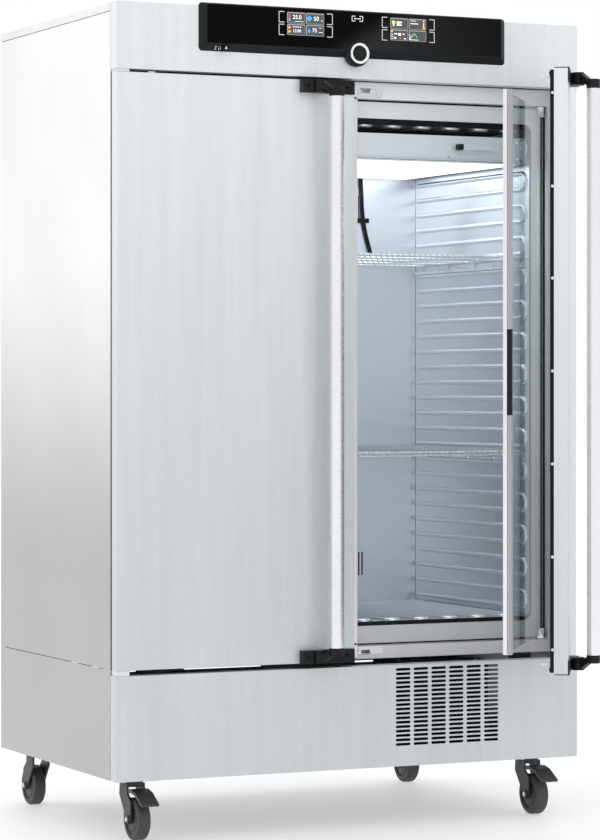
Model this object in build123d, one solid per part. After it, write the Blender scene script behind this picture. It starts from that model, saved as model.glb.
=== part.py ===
from build123d import *
import math
import os

os.makedirs("parts", exist_ok=True)

# ------------------------------------------------------------------ sizes, mm
# X right seen from the front, Y from the front face into the chamber, Z up from the floor.
W = 1224.0            # cabinet width
D = 784.0             # cabinet depth without the handles
H = 1950.0            # cabinet height on its castors
ZB = 146.4            # underside of the cabinet
T = 38.0              # depth of the front layer (fascia, base panel)
YB = 39.5             # front edge of the side panels
SH = 1.5              # outer sheet
HW = W / 2
Z_BASE = 391.0        # top of the base front panel
Z_D0, Z_D1 = 403.5, 1787.0    # doors, bottom and top
Z_FAS = 1794.3        # bottom of the fascia
CX, CZ0, CZ1 = 520.0, 490.0, 1695.0   # working chamber half width, floor, ceiling
CY0, CY1 = 84.0, 690.0        # chamber mouth and rear baffle
YF = 45.0             # face of the front frame
HX, HY = 606.0, 5.0   # steel door hinge axis
GX, GY = 541.0, 55.0  # glass door hinge axis
A_DOOR = 58.0         # right steel door as it stands, degrees open
A_GLASS = 51.6        # right glass door as it stands, degrees open
T_DOOR = 32.0
TX, TY = 75.0, -56.0  # handle tube centre on a closed leaf
PX, PY = 103.0, -20.0  # handle pivot
PINX, PINR = 50.0, 3.0
PIN_T, PIN_B = 1771.0, 421.3
KZ = 1852.5           # control knob height
SWX, SFY, SRY = 531.0, 104.0, 735.0   # castor swivel axes
TRAIL, WR, WW = 30.0, 50.0, 32.0      # castor trail, wheel radius, tyre width
AX_R = 6.0            # castor axle radius
S_UP, S_LO = 1384.0, 904.0            # shelf tops, 34 above the rib run they rest on
LZ0, LZ1 = 1607.0, 1675.0             # light unit

OUT = Pos(0, -D / 2, 0)


def bx(x0, x1, y0, y1, z0, z1):
    return Pos((x0 + x1) / 2, (y0 + y1) / 2, (z0 + z1) / 2) * Box(abs(x1 - x0), abs(y1 - y0), abs(z1 - z0))


def cyl(x, y, z, r, h, axis="z"):
    """Cylinder of length h centred on x, y, z."""
    c = Cylinder(r, h)
    if axis == "y":
        c = Rot(90, 0, 0) * c
    elif axis == "x":
        c = Rot(0, 90, 0) * c
    return Pos(x, y, z) * c


def tube(x, y, z, ro, ri, h, axis="z"):
    c = Cylinder(ro, h) - Cylinder(ri, h + 2)
    if axis == "y":
        c = Rot(90, 0, 0) * c
    elif axis == "x":
        c = Rot(0, 90, 0) * c
    return Pos(x, y, z) * c


def solids_of(s):
    if isinstance(s, (list, tuple)):
        out = []
        for q in s:
            out += solids_of(q)
        return out
    return list(s.solids())


def save(name, *shapes):
    sol = []
    for s in shapes:
        sol += solids_of(s)
    sol = [OUT * q for q in sol]
    part = sol[0] if len(sol) == 1 else Compound(children=sol)
    part.label = name
    export_step(part, "parts/" + name + ".step")
    print(name, len(sol))


def mirx(shapes):
    return [mirror(q, about=Plane.YZ) for q in solids_of(list(shapes))]


def swing(shapes, x, y, ang):
    t = Pos(x, y, 0) * Rot(0, 0, ang) * Pos(-x, -y, 0)
    return [t * q for q in solids_of(list(shapes))]


def fil(s, r, f=None):
    es = s.edges() if f is None else f(s)
    try:
        return fillet(es, r)
    except Exception:
        return s


def fz(s, r):
    return fil(s, r, lambda q: q.edges().filter_by(Axis.Z))


def fy(s, r):
    return fil(s, r, lambda q: q.edges().filter_by(Axis.Y))


def fx(s, r):
    return fil(s, r, lambda q: q.edges().filter_by(Axis.X))


# ================================================================ outer casing
def side_panel(sgn):
    p = bx(HW - SH, HW, YB, D, ZB, H - 20.5)
    p -= bx(HW - 5, HW + 5, 84, 754, 401.8, 403.2)
    return p if sgn > 0 else mirx([p])


save("side_panel_right", side_panel(1))
save("side_panel_left", side_panel(-1))

top = bx(-HW, HW, YB, D, H - 19, H) - bx(-HW + SH, HW - SH, YB + SH, D - SH, H - 30, H - SH)
top = fil(top, 1.2, lambda q: q.edges().group_by(Axis.Z)[-1])
save("top_cover", top)

rear = bx(-HW + SH + 0.2, HW - SH - 0.2, D - SH, D, ZB + 2, H - 21)
slots = []
for ix in range(3):
    for iz in range(12):
        slots.append(Pos(-330 + 330 * ix, D, 200 + 14 * iz) * (Rot(90, 0, 0) * extrude(SlotOverall(220, 5), 6, both=True)))
for iz in range(8):
    slots.append(Pos(0, D, 1812 + 12 * iz) * (Rot(90, 0, 0) * extrude(SlotOverall(420, 4), 6, both=True)))
rear = rear - slots
# power inlet socket and a capped cable port on the back
inlet = fy(bx(500, 558, D - 30, D + 3, 300, 336), 4) - bx(507, 551, D - 22, D + 8, 307, 329)
rear -= bx(499.8, 558.2, D - 10, D + 10, 299.8, 336.2)
rear -= cyl(-420, D, 1560, 24.2, 40, "y")
port = cyl(-420, D + 1.5, 1560, 24, 6, "y") + cyl(-420, D + 6, 1560, 30, 4, "y") + cyl(-420, D + 11, 1560, 16, 6, "y")
pins_in = [bx(x - 1.2, x + 1.2, D - 21.95, D - 8, 313, 323) for x in (518, 529, 540)]
save("rear_cover", rear, inlet, pins_in, port)
# tilt protection bracket, bolted to the rear edge of the top
br = bx(-60, 60, D - 60, D + 22, H, H + 3) + bx(-60, 60, D + 19, D + 22, H - 50, H + 3)
for sx in (-35, 35):
    br -= cyl(sx, D + 20, H - 30, 4.5, 20, "y")
    br -= cyl(sx, D - 30, H, 4.5, 20)
br = fil(br, 6, lambda q: q.edges().filter_by(Axis.Y).group_by(Axis.Z)[0])
bolts = [cyl(sx, D - 30, H + 3.05 + 2.5, 7.5, 5) for sx in (-35, 35)]
save("tilt_bracket", br, bolts)

# ---------------------------------------------------------------- base
cb = bx(-HW + 2, HW - 2, YB + 0.5, D - 2, ZB, ZB + 3)
cb += bx(-HW + 2, -HW + 5, YB + 0.5, D - 2, ZB, ZB + 60) + bx(HW - 5, HW - 2, YB + 0.5, D - 2, ZB, ZB + 60)
cb += bx(-HW + 2, HW - 2, D - 5, D - 2, ZB, ZB + 40)
for x in (-300, 300):
    cb += bx(x - 20, x + 20, YB + 0.5, D - 2, ZB, ZB + 18)
for x in (-500, 500):
    for y in (90, 720):
        cb += bx(x - 20, x + 20, y - 20, y + 20, ZB, 403.8)
save("base_chassis", cb)

casp, casb = [], []
for sx in (-1, 1):
    for y in (SFY, SRY):
        p = fz(bx(sx * SWX - 46, sx * SWX + 46, y - 46, y + 46, ZB - 4.05, ZB - 0.05), 8)
        pin = cyl(sx * SWX, y, ZB - 4.05 - 9, 8.0, 18)
        casp.append(p + pin)
        for dx in (-37, 37):
            for dy in (-37, 37):
                casb.append(cyl(sx * SWX + dx, y + dy, ZB - 4.1 - 2.5, 6.5, 5))
save("castor_plates", casp, casb)

bf = bx(-HW, HW, 0, T, ZB, Z_BASE) - bx(-HW + SH, HW - SH, SH, T + 1, ZB + SH, Z_BASE - SH)
bf = fil(bf, 1.0, lambda q: q.edges().group_by(Axis.Y)[0])
gs = []
for ix in range(6):
    for iz in range(18):
        gs.append(Pos(129.4 + 48.14 * ix, 0, 199.2 + 10.6 * iz) * (Rot(90, 0, 0) * extrude(SlotOverall(39.6, 6.4), 5, both=True)))
bf = bf - gs
save("base_front_panel", bf)

# ---------------------------------------------------------------- fascia and control unit
fa = bx(-HW, HW, 0, T, Z_FAS, H) - bx(-HW + SH, HW - SH, SH, T + 1, Z_FAS + SH, H - SH)
fa = fil(fa, 1.0, lambda q: q.edges().group_by(Axis.Y)[0])
fa -= bx(-396, 396, -5, 10, 1849.5, 1941)
save("fascia_panel", fa)

GZ0, GZ1, GW = 1861.0, 1953.0, 391.0
yf = -13.0
with BuildPart() as hb:
    with BuildSketch(Plane(origin=(0, -0.05, (1843.7 + 1957) / 2), x_dir=(1, 0, 0), z_dir=(0, -1, 0))):
        RectangleRounded(814, 1957 - 1843.7, 9)
    with BuildSketch(Plane(origin=(0, yf, (GZ0 + GZ1) / 2), x_dir=(1, 0, 0), z_dir=(0, -1, 0))):
        RectangleRounded(2 * GW + 2, GZ1 - GZ0 + 2, 4)
    loft()
hous = hb.part
hous += bx(-395.5, 395.5, -0.1, 34, 1850, 1940.5)
hous -= bx(-392.5, 392.5, 3, 36, 1853, 1937.5)
collar = cyl(0, -8, KZ, 30, 15.9, "y")
hous += collar
hous -= bx(-389.8, 389.8, yf - 5, -10.9, GZ0 + 1.2, GZ1 - 1.2) - cyl(0, -8, KZ, 30, 40, "y")
hous += cyl(0, -15, KZ, 17.9, 18, "y")
hous -= cyl(0, -30, KZ, 16.9, 36, "y")
hous -= bx(-352, -336, yf - 5, -3, 1847, 1855)
save("control_housing", hous)
glass = fy(bx(-389.5, 389.5, yf - 0.2, -11.0, GZ0 + 1.5, GZ1 - 1.5), 3) - cyl(0, -10, KZ, 30.3, 30, "y")
save("control_glass", glass)
board = bx(-370, 370, 16, 17.6, 1862, 1930) + bx(-195, -80, 7, 16, 1884, 1928) + bx(80, 195, 7, 16, 1884, 1928) \
    + bx(-18, 18, 6, 16, 1862, 1876)
ring = tube(0, -22.1, KZ, 24.7, 17.96, 12, "y")
ring = fil(ring, 2.2, lambda q: q.edges().filter_by(GeomType.CIRCLE).group_by(Axis.Y)[0][-1:])
save("knob_ring", ring)
btn = cyl(0, -20.5, KZ, 16.5, 11, "y")
btn = fil(btn, 1.5, lambda q: q.edges().filter_by(GeomType.CIRCLE).group_by(Axis.Y)[0])
save("knob_button", btn)
key = bx(-351.6, -336.4, -16.2, -4.2, 1847.4, 1854.6)
save("main_switch", fil(key, 0.8, lambda q: q.edges().group_by(Axis.Y)[0]))

# ================================================================ front frame and chamber
fr = bx(-HW + 2, HW - 2, YF, CY0, Z_D0 + 0.5, Z_FAS - 2)
REC, RZ0, RZ1 = 554.0, 434.5, 1753.0
fr -= bx(-REC, REC, YF - 5, 67, RZ0, RZ1)
with BuildPart() as fb:
    with BuildSketch(Plane(origin=(0, 66.9, (439 + 1748) / 2), x_dir=(1, 0, 0), z_dir=(0, -1, 0))):
        RectangleRounded(1082, 1748 - 439, 24)
    with BuildSketch(Plane(origin=(0, 80, (481 + 1709) / 2), x_dir=(1, 0, 0), z_dir=(0, -1, 0))):
        RectangleRounded(1044, 1709 - 481, 20)
    loft()
fr -= fb.part


def rring(hw, z0, z1, y0, y1, r):
    """Slab across the mouth with rounded corners."""
    return extrude(Plane(origin=(0, y0, (z0 + z1) / 2), x_dir=(1, 0, 0), z_dir=(0, 1, 0)) * RectangleRounded(2 * hw, z1 - z0, r), y1 - y0)


fr -= rring(525.2, 477.8, 1709.2, 79.9, CY0 + 1, 20.2)
for sx in (-1, 1):
    for z in (PIN_T, PIN_B):
        fr -= bx(sx * 36, sx * 66, YF - 3, 68, z - 6.5, z + 6.5)
save("front_frame", fr)
gk = rring(525, 478, 1709, 80, CY0, 20) - rring(520.5, 490.4, 1694.6, 70, 90, 16)
gk = fil(gk, 1.5, lambda q: q.edges().group_by(Axis.Y)[0])
sl = bx(-545, 545, 65.8, 66.95, 436, 1752) - bx(-541.2, 541.2, 55, 70, 439.2, 1747.8)
save("mouth_gasket", gk, sl)
st = []
for sx in (-1, 1):
    for z in (PIN_T, PIN_B):
        zc = 1765.5 if z == PIN_T else 425.0
        p = bx(sx * 30, sx * 96, YF - 1.5, YF, zc - 9.5, zc + 9.5)
        p -= bx(sx * 38.7, sx * 62.3, YF - 5, YF + 2, z - 4.4, z + 4.4)
        p = fy(p, 1.2)
        st.append(p)
        for xx in (34.2, 82):
            st.append(cyl(sx * xx, YF - 1.5 - 1.0, zc, 3.4, 1.9, "y"))

lin = bx(-CX - 1, CX + 1, CY0 + 0.1, 739, CZ0 - 1, CZ1 + 1) - bx(-CX, CX, CY0 - 5, 738, CZ0, CZ1)

RB, PITCH = 6.0, 20.0


def hairpin(r=RB, half=PITCH, y0=101.0, y1=673.0):
    """Pressed double rib on the plane X=0, bulging to -X, closed in a loop at the front."""
    run = []
    core = Cylinder(r, y1 - y0 - half) & Pos(-r, 0, 0) * Box(2 * r, 4 * r, 4000)
    for s in (-1, 1):
        run.append(Pos(0, (y0 + half + y1) / 2, s * half) * Rot(90, 0, 0) * core)
    ends = [Pos(0, y1, s * half) * (Sphere(r) & Pos(-r, 0, 0) * Box(2 * r, 4 * r, 4 * r)) for s in (-1, 1)]
    loop = Rot(0, 90, 0) * Torus(half, r)
    loop = loop & Pos(-r, -(half + r), 0) * Box(2 * r, 2 * (half + r), 4 * (half + r))
    loop = Pos(0, y0 + half, 0) * loop
    s = run[0] + run[1] + ends + loop
    return s.solids()[0]


hp = hairpin()
ribs = []
for i in range(15):
    z = 530 + 80.0 * i
    if z + 26 > CZ1:
        break
    ribs.append(Pos(CX - 0.02, 0, z) * hp)
    ribs.append(mirror(Pos(CX - 0.02, 0, z) * hp, about=Plane.YZ))
hpf = Rot(0, 90, 0) * hp
for i in range(-6, 7):
    ribs.append(Pos(80.0 * i, 0, CZ1 - 0.02) * (Rot(0, -90, 0) * hp))
    ribs.append(Pos(80.0 * i, 0, CZ0 + 0.02) * (Rot(0, 90, 0) * hp))

save("chamber_liner", lin, ribs)

baf = bx(-CX + 0.5, CX - 0.5, CY1, CY1 + 1.2, CZ0 + 0.5, CZ1 - 0.5)
cut = []
for sx in (-1, 1):
    for x in (351.5, 361.0):
        cut.append(bx(sx * x - 2, sx * x + 2, CY1 - 5, CY1 + 5, 562, 623))
        cut.append(bx(sx * x - 2, sx * x + 2, CY1 - 5, CY1 + 5, 1500, 1561))
for ir, n in ((0, 1), (24, 6), (48, 12), (72, 18)):
    for k in range(n):
        a = 2 * math.pi * k / n
        cut.append(cyl(ir * math.cos(a), CY1, 1090 + ir * math.sin(a), 7, 10, "y"))
baf -= cut
save("air_baffle", baf)
evs = []
for sx in (-1, 1):
    e = None
    for k in range(24):
        f = bx(sx * 300 - 150 + 12.5 * k, sx * 300 - 150 + 12.5 * k + 0.8, 700, 730, 760, 1420)
        e = f if e is None else e + f
    for z in (800, 920, 1040, 1160, 1280, 1390):
        e += cyl(sx * 300 - 5, 715, z, 5, 310, "x")
    e += bx(sx * 300 - 162, sx * 300 - 158, 700, 737, 750, 1430) + bx(sx * 300 + 148, sx * 300 + 152, 700, 737, 750, 1430)
    evs.append(e)
save("evaporator", evs)
mot = cyl(0, 733.5, 1090, 45, 8.8, "y") + cyl(0, 720, 1090, 5, 22, "y")
save("fan_motor", mot)
fan = tube(0, 714, 1090, 14, 5.05, 22, "y") + tube(0, 724, 1090, 85, 13, 2, "y") + tube(0, 703.8, 1090, 85, 60, 1.6, "y")
for k in range(12):
    b = Pos(0, 713.8, 1090) * Rot(0, 30 * k, 0) * Pos(72, 0, 0) * Rot(0, 35, 0) * Box(24, 19.6, 1.6)
    fan += b
save("circulation_fan", fan)

ins = [
    bx(-HW + 2, -CX - 1.2, CY0 + 0.3, D - 2, 404.2, 1789.5), bx(CX + 1.2, HW - 2, CY0 + 0.3, D - 2, 404.2, 1789.5),
    bx(-CX - 1.1, CX + 1.1, CY0 + 0.3, D - 2, CZ1 + 1.2, 1789.5), bx(-CX - 1.1, CX + 1.1, CY0 + 0.3, D - 2, 404.2, CZ0 - 1.2),
    bx(-CX - 1.1, CX + 1.1, 739.2, D - 2, CZ0 - 1.1, CZ1 + 1.1)]
save("insulation", ins)

# ---------------------------------------------------------------- plant
comp = cyl(-250, 420, 235, 85, 110) + Pos(-250, 420, 290) * Sphere(85) & bx(-400, -100, 200, 600, 180, 350)
comp = comp + bx(-345, -155, 325, 515, 175, 181)
for dx in (-75, 75):
    for dy in (-75, 75):
        comp += cyl(-250 + dx, 420 + dy, 170.4, 10, 9.9)
save("compressor", comp)
con = bx(104, 108, 70, 120, 190, 388) + bx(396, 400, 70, 120, 190, 388)
for k in range(23):
    con += bx(110 + 12.6 * k, 110.8 + 12.6 * k, 72, 108, 194, 386)
for z in (215, 255, 295, 335, 370):
    con += cyl(250, 90, z, 5, 296, "x")
shr = bx(110, 390, 122, 126, 190, 388) - cyl(250, 124, 289, 92, 20, "y") + tube(250, 137, 289, 96, 92, 26, "y")
shr += bx(244, 256, 172, 180, 190, 388) + cyl(250, 168, 289, 28, 22, "y") + cyl(250, 148, 289, 4, 24, "y")
shr += bx(244, 256, 122, 180, 184, 190.5)
shr += bx(240, 260, 122, 180, 166.6, 184.5)
save("condenser", con, shr)
cf = tube(250, 146, 289, 24, 4.05, 16, "y")
for k in range(5):
    cf += Pos(250, 146, 289) * Rot(0, 72 * k, 0) * Pos(54, 0, 0) * Rot(32, 0, 0) * Box(68, 2, 34)
cf = cf & cyl(250, 146, 289, 88, 40, "y")
cf -= cyl(250, 146, 289, 4.05, 60, "y")
save("condenser_fan", cf)
el = fil(bx(-300, 300, 200, 520, 1790, 1880), 4, lambda q: q.edges().group_by(Axis.Z)[-1])
save("control_electronics", el, board)

# ================================================================ steel doors, built closed on the right
def door():
    x0, x1 = 2.0, HW - 1.0
    skin = bx(x0, x1, 0, 31, Z_D0, Z_D1) - bx(x0 + SH, x1 - SH, SH, 40, Z_D0 + SH, Z_D1 - SH)
    skin = fil(skin, 1.2, lambda q: q.edges().group_by(Axis.Y)[0])
    foam = bx(x0 + SH + 0.1, x1 - SH - 0.1, SH + 0.1, 30.9, Z_D0 + SH + 0.1, Z_D1 - SH - 0.1)
    skin -= [cyl(HX, HY, Z_D1, 3.06, 24), cyl(HX, HY, Z_D0, 3.06, 24)]
    foam -= [cyl(HX, HY, Z_D1, 4.5, 24), cyl(HX, HY, Z_D0, 4.5, 24)]
    lnr = bx(x0, x1, 31.05, T_DOOR, Z_D0, Z_D1) + bx(44, 572, 31.05, 34, 450, 1740)
    lnr = fil(lnr, 1.5, lambda q: q.edges().group_by(Axis.Y)[-1])
    for z in (PIN_T, PIN_B):
        lnr -= bx(PINX - 6, PINX + 14, 20, 40, z - 4, z + 4)
        foam -= bx(PINX - 7, PINX + 15, 16, 40, z - 5, z + 5)
    g = bx(10, 602, T_DOOR + 0.05, YF - 0.5, 406, 1784) - bx(18, 594, 20, 50, 414, 1776)
    gr = g - bx(0, 40, 41.2, 50, 400, 1790)
    g, gr = [fil(q, 2.0, lambda w: w.edges().group_by(Axis.Y)[-1]) for q in (g, gr)]
    mounts = []
    for zt in (True, False):
        z0, z1 = (1756.0, 1787.0) if zt else (403.5, 434.5)
        m = bx(2, 146, -3.5, -0.05, z0, z1 + 2.2) if zt else bx(2, 146, -3.5, -0.05, z0 - 2.2, z1)
        m += bx(2, 146, -3.5, 31, z1 + 0.05, z1 + 2.2) if zt else bx(2, 146, -3.5, 31, z0 - 2.2, z0 - 0.05)
        m += bx(118.5, 146, -21, -0.05, z0, z1)
        m += cyl(PX, PY, (z0 + 2.5) if zt else (z1 - 2.5), 15, 5)
        m += bx(PX - 12, PX + 12, PY, -0.05, (z0 if zt else z1 - 5), (z0 + 5 if zt else z1))
        m += cyl(PX, PY, (z0 + z1) / 2, 5.0, 25)
        mounts.append(m)
    return skin, foam, lnr, (g, gr), mounts


def handle():
    arms = []
    z0, z1 = 1761.4, 1785.5
    L = math.hypot(PX - TX, PY - TY)
    ang = math.degrees(math.atan2(TY - PY, TX - PX))
    a = cyl(PX, PY, (z0 + z1) / 2, 14, z1 - z0)
    with BuildPart() as ab:
        with BuildSketch(Plane(origin=(0, 9, 0), x_dir=(1, 0, 0), z_dir=(0, -1, 0))):
            with BuildLine():
                Polyline((0, z0 + 0.1), (18, z0 + 0.1), (L - 10, 1751), (L + 6, 1750), (L + 6, 1766.5), (L - 12, 1768), (12, z1 - 2), (0, z1 - 2), close=True)
            make_face()
        extrude(amount=18)
    a += Pos(PX, PY, 0) * Rot(0, 0, ang) * ab.part
    cap = Pos(TX, TY, 1756.5) * extrude(Ellipse(18.1, 15.9), 10.5, both=True)
    a += fil(cap, 2.0, lambda q: q.edges().group_by(Axis.Z)[-1])
    a -= cyl(PX, PY, (z0 + z1) / 2, 5.06, 60)
    b = mirror(a, about=Plane(origin=(0, 0, (Z_D0 + Z_D1) / 2), z_dir=(0, 0, 1)))
    b -= bx(TX - 40, TX + 40, TY - 40, TY + 40, 442.05, 470)
    arms = [a, b]
    t = Pos(TX, TY, (442.1 + 1745.9) / 2) * extrude(Ellipse(17.5, 15.3) - Ellipse(15.0, 12.8), (1745.9 - 442.1) / 2, both=True)
    pins = []
    for z in (PIN_T, PIN_B):
        p = cyl(PINX, 40.5, z, PINR, 45, "y")
        p += bx(PINX - 5.5, PINX + 5.5, 18, 22, z - 3.6, z + 3.6)
        p = fil(p, 0.8, lambda q: q.edges().group_by(Axis.Y)[-1])
        pins.append(p)
    return arms, t, pins


def glass_leaf(x0):
    """Glass leaf on the right, from x0 at the free edge to the hinge edge."""
    z0, z1, x1 = 437.5, 1750.0, 546.0
    y0, y1 = YF + 0.1, 65.0
    stile = bx(x0, x0 + 24, y0, y1, z0, z1) - bx(x0 + 16, x0 + 30, y0 + 7, y1 - 7, z0 + 8, z1 - 8)
    blocks = []
    for za, zb in ((z0, z0 + 24), (z1 - 24, z1)):
        k = fz(bx(x1 - 19, x1, y0 + 2, y1 - 2, za, zb), 2.0)
        k -= cyl(GX, GY, z0 if za == z0 else z1, 4.05, 30)
        blocks.append(k)
    fm = [stile] + blocks
    pane = bx(x0 + 16.2, x1 - 1, y0 + 7.1, y1 - 7.1, z0 + 8.2, z1 - 8.2)
    pane -= bx(x1 - 19.2, x1 + 5, y0, y1, z0 - 1, z0 + 24.2)
    pane -= bx(x1 - 19.2, x1 + 5, y0, y1, z1 - 24.2, z1 + 1)
    return fm, pane


skin, foam, lnr, (gl, gr), mounts = door()
# sealing strip along the free edge of the left leaf, behind the edge of the right leaf
ast = fz(bx(-27, 8.5, 41.7, YF - 0.3, 408, 1785.5), 0.8) + bx(3.2, 8.4, T_DOOR + 0.05, 42, 415, 1778)
arms, ht, pins = handle()
for nm, shp in (("door_right_skin", [skin]), ("door_right_liner", [lnr, foam]),
                ("door_right_gasket", [gr]), ("door_right_handle_mounts", mounts), ("handle_right_arms", arms),
                ("handle_right_tube", [ht]), ("latch_right_pins", pins)):
    save(nm, swing(shp, HX, HY, A_DOOR))
    if nm == "door_right_gasket":
        shp = [gl]
    elif nm == "door_right_liner":
        shp = [lnr, foam, ast]
    save(nm.replace("right", "left"), mirx(shp))

GR0, GL0 = 28.0, -26.5
fmr, panr = glass_leaf(GR0)
fml, panl = glass_leaf(GL0)
save("glass_right_frame", swing(fmr, GX, GY, A_GLASS))
save("glass_right_pane", swing([panr], GX, GY, A_GLASS))
save("glass_left_frame", mirx(fml))
save("glass_left_pane", mirx([panl]))

# hinge pins and knuckles on the cabinet
hg = []
for sx in (-1, 1):
    for z0, z1 in ((Z_BASE + 0.2, Z_D0 - 0.3), (Z_D1 + 0.3, Z_FAS - 0.2)):
        hp_ = cyl(sx * HX, HY, z0 - 3 if z0 > 1000 else z1 + 3, 3.0, 8)
        hg.append(bx(sx * (HX - 26), sx * (HX + 4), 1, YF - 0.2, z0, z1) + hp_)
    for z0, z1 in ((RZ0 + 0.1, 437.3), (1750.2, RZ1 - 0.1)):
        b = bx(sx * (GX - 12), sx * (GX + 12.9), 48, 63, z0, z1)
        pz = (z0, z0 + 10) if z0 < 1000 else (z1 - 10, z1)
        b += cyl(sx * GX, GY, (pz[0] + pz[1]) / 2, 4.0, 10)
        hg.append(b)
save("door_fittings", hg, st)

# ================================================================ shelves, light unit, sensor lead
def shelf(zt):
    """Wire shelf: welded cross rods with a double front rod, and lengthwise wires turned down at the front."""
    x0, x1, y0, y1 = -506.0, 506.0, 90.0, 672.0
    rods = [cyl(0, y, zt - 5.6, 2.9, x1 - x0, "x") for y in (235.0, 380.0, 525.0, 672.0)]
    rods += [cyl(0, y0, zt - 13.4, 2.6, x1 - x0, "x")]
    for x in (x0, x1):
        rods += [cyl(x, (y0 + y1) / 2, zt - 5.6, 3.0, y1 - y0 + 4, "y"), cyl(x, y0, zt - 9.5, 2.9, 9)]
        # side runner lying on the wall rib, with a post at each cross rod
        sg = 1 if x > 0 else -1
        rods += [cyl(x + sg * 8.6, (y0 + y1) / 2, zt - 26.5, 3.0, y1 - y0 + 4, "y")]
        for y in (y0, 235.0, 380.0, 525.0, 670.0):
            rods += [cyl(x + sg * 0.4, y, zt - 16.0, 2.4, 21.0), cyl(x + sg * 4.4, y, zt - 26.5, 2.4, 8.6, "x")]
    frame = cyl(0, y0, zt - 5.6, 2.9, x1 - x0, "x") + rods
    wires = []
    w = Polyline((y0 - 5.8, zt - 15.5), (y0 - 3.2, zt - 15.5), (y0 - 3.2, zt - 2.6), (y1 + 2, zt - 2.6), (y1 + 2, zt), (y0 - 5.8, zt), close=True)
    wire = extrude(Plane(origin=(0, 0, 0), x_dir=(0, 1, 0), z_dir=(1, 0, 0)) * make_face(w), amount=1.3, both=True)
    for k in range(66):
        wires.append(Pos(-494 + 15.2 * k, 0, 0) * wire)
    return [frame] + wires


save("shelf_upper", shelf(S_UP))
save("shelf_lower", shelf(S_LO))

lh = bx(-500, 500, 88, 681, LZ0 + 2, LZ1) - bx(-498, 498, 90, 679, LZ0 + 5, LZ1 - 2)
lh -= bx(-480, 480, 100, 672, LZ0 - 5, LZ0 + 8)
lh += bx(-500, 500, 86.2, 88, LZ0 + 12, LZ1 - 1)
lh += bx(-500, 500, 84.5, 88, LZ0 + 2, LZ0 + 6)
for sx in (476,):
    lh += bx(sx, 507, 80, 86.2, LZ0 + 3, LZ1 - 1)
    lh += cyl(498, 76, 1647, 6, 9, "y")
    lh -= cyl(484, 80, 1662, 3, 30, "y")
    lh -= cyl(484, 80, 1622, 3, 30, "y")
hb2 = bx(322, 430, 68.5, 73.5, 1640.5, 1653.5) + bx(322, 332, 68.5, 86.15, 1640.5, 1653.5) + bx(420, 430, 68.5, 86.15, 1640.5, 1653.5)
save("light_housing", lh, fy(hb2, 1.2))
dif = bx(-484, 484, 96, 676, LZ0, LZ0 + 1.95)
save("light_diffuser", dif)

pts = [(350, 686.2, 1650), (352, 686.2, 1600), (354.5, 686.2, 1560), (359, 686.2, 1497), (370.5, 686.2, 1445), (384, 686.2, 1400)]
path = Spline([Vector(*p) for p in pts])
lead = sweep(Plane(origin=path @ 0, z_dir=path % 0) * Circle(2.6), path=path)
pth2 = Spline([Vector(p[0] + 6.4, p[1], p[2]) for p in pts])
lead2 = sweep(Plane(origin=pth2 @ 0, z_dir=pth2 % 0) * Circle(2.6), path=pth2)
clip = bx(346, 378, 689.0 - 6.8, 689.9, 1490, 1502) - bx(353.5, 372.5, 670, 689.2, 1480, 1510)
clip += bx(352.5, 373.5, 680.0, 682.4, 1490, 1502)
save("sensor_lead", lead, lead2, clip)

# ================================================================ castors
def fork(sgn):
    """Castor fork at the origin; the wheel trails to sgn along Y."""
    zt = ZB - 4.6
    f = tube(0, 0, zt - 9.5, 25, 8.05, 18)
    ty = sgn * TRAIL
    for sx in (-1, 1):
        with BuildPart() as lp:
            with BuildSketch(Plane(origin=(sx * 20.5, 0, 0), x_dir=(0, 1, 0), z_dir=(1, 0, 0))):
                with BuildLine():
                    P = [(-22, 132), (22, 132), (23, 109), (TRAIL + 14, 92), (TRAIL + 14, 50),
                         (TRAIL, 37), (TRAIL - 14, 50), (-25, 104)]
                    Polyline(*[(sgn * a, b) for a, b in P], close=True)
                make_face()
            extrude(amount=2.5, both=True)
        f += lp.part
    f += bx(-23, 23, -22, 22, 124, 132)
    f -= cyl(0, 0, 130, 8.05, 40)
    f -= cyl(0, ty, WR, WR + 3, WW + 2, "x") & bx(-17.8, 17.8, -200, 200, -10, 121)
    f += cyl(0, ty, WR, AX_R, 50, "x")
    f += cyl(0, ty, WR, 10, 3, "x").moved(Location((24.4, 0, 0))) + cyl(0, ty, WR, 10, 3, "x").moved(Location((-24.4, 0, 0)))
    return f


def wheel():
    tyre = Rot(0, 90, 0) * Cylinder(WR, WW)
    tyre = fil(tyre, 7, lambda q: q.edges().filter_by(GeomType.CIRCLE))
    tyre -= Rot(0, 90, 0) * Cylinder(36, WW + 5)
    hub = Rot(0, 90, 0) * Cylinder(35.95, WW - 6)
    hub -= Pos(WW / 2 - 3, 0, 0) * (Rot(0, 90, 0) * (Cylinder(30, 12) - Cylinder(13, 12)))
    hub -= Pos(-WW / 2 + 3, 0, 0) * (Rot(0, 90, 0) * (Cylinder(30, 12) - Cylinder(13, 12)))
    hub += Rot(0, 90, 0) * Cylinder(12, WW - 1)
    hub -= Rot(0, 90, 0) * Cylinder(AX_R + 0.06, WW + 5)
    return [tyre, hub]


def pedal(sgn):
    """Brake pedal over the wheel, hinged between the fork legs."""
    with BuildPart() as pp:
        with BuildSketch(Plane(origin=(0, 0, 0), x_dir=(0, 1, 0), z_dir=(1, 0, 0))):
            with BuildLine():
                P = [(27, 119), (46, 121), (72, 115), (112, 92), (110, 87), (72, 107), (46, 112.5), (27, 111)]
                Polyline(*[(sgn * a, b) for a, b in P], close=True)
            make_face()
        extrude(amount=22, both=True)
    p = fz(pp.part, 4) + cyl(0, sgn * 30, 115, 5, 44, "x")
    return p


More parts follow.
